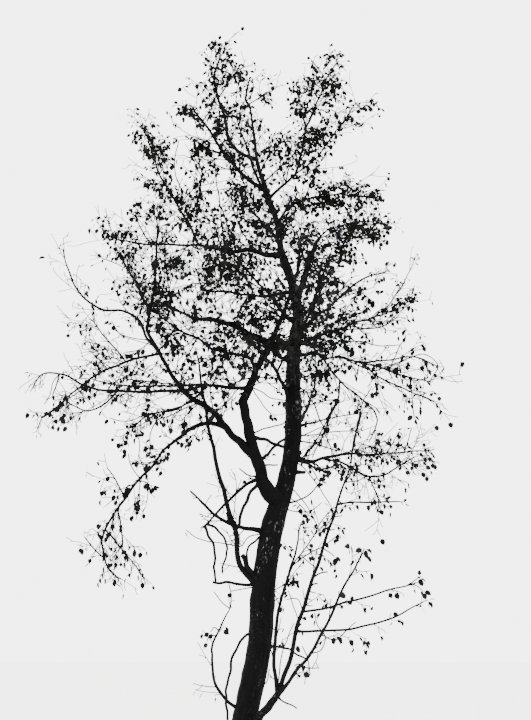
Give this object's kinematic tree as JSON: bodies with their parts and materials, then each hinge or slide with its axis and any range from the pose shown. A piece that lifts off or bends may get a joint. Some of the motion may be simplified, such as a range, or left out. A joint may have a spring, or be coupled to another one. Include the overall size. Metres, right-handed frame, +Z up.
{
  "type": "broadleaf tree",
  "caption": "Tall, slim broadleaf tree late in the year: a leaning trunk that forks low, crooked boughs, drooping shoots and a thin scatter of small leaves.",
  "frame": {"origin": "middle of the flat cut under the trunk, at ground level", "axes": "+Z up, +X to the right and +Y away from the viewer of the picture"},
  "size_m": [4.5676, 4.0036, 9.0349],
  "materials": {
    "bark": "rough, dark grey bark with paler flecks",
    "leafy_twigs": "matt, near-black thin twigs with small leaves"
  },
  "bodies": {
    "root": {"back_high": "leafy_twigs", "back_low": "bark", "back_low_out": "leafy_twigs", "back_mid": "bark", "back_mid_out": "leafy_twigs", "base_second": "leafy_twigs", "base_sprout": "leafy_twigs", "base_stem": "bark", "base_sucker": "leafy_twigs", "base_whip": "leafy_twigs", "crook_out": "leafy_twigs", "dead_bough": "bark", "dead_fork": "bark", "front_high": "leafy_twigs", "front_low": "bark", "front_low_out": "leafy_twigs", "front_mid": "bark", "front_mid_out": "leafy_twigs", "left_arch": "bark", "left_arch_fall": "leafy_twigs", "left_arm": "bark", "left_arm_rise": "leafy_twigs", "left_bend": "bark", "left_crook": "bark", "left_cross": "bark", "left_cross_out": "leafy_twigs", "left_level": "bark", "left_pole": "leafy_twigs", "left_reach": "leafy_twigs", "left_stem": "bark", "left_stem_top": "leafy_twigs", "left_whip": "leafy_twigs", "level_far": "leafy_twigs", "level_low": "leafy_twigs", "level_mid": "leafy_twigs", "low_right": "bark", "low_right_kink": "leafy_twigs", "low_right_out": "leafy_twigs", "right_arch": "bark", "right_arch_low": "leafy_twigs", "right_arch_out": "leafy_twigs", "right_arm": "bark", "right_arm_out": "leafy_twigs", "right_fork": "bark", "right_high": "leafy_twigs", "right_leafy": "bark", "right_leafy_out": "leafy_twigs", "right_rise": "leafy_twigs", "right_spike": "leafy_twigs", "right_tuft": "leafy_twigs", "top_leader": "leafy_twigs", "top_left": "leafy_twigs", "top_right": "bark", "top_right_out": "leafy_twigs", "top_right_rise": "leafy_twigs", "trunk": "bark", "trunk_tip": "leafy_twigs", "upper_left": "bark", "upper_left_out": "leafy_twigs", "upper_left_rise": "leafy_twigs"}
  },
  "joints": []
}
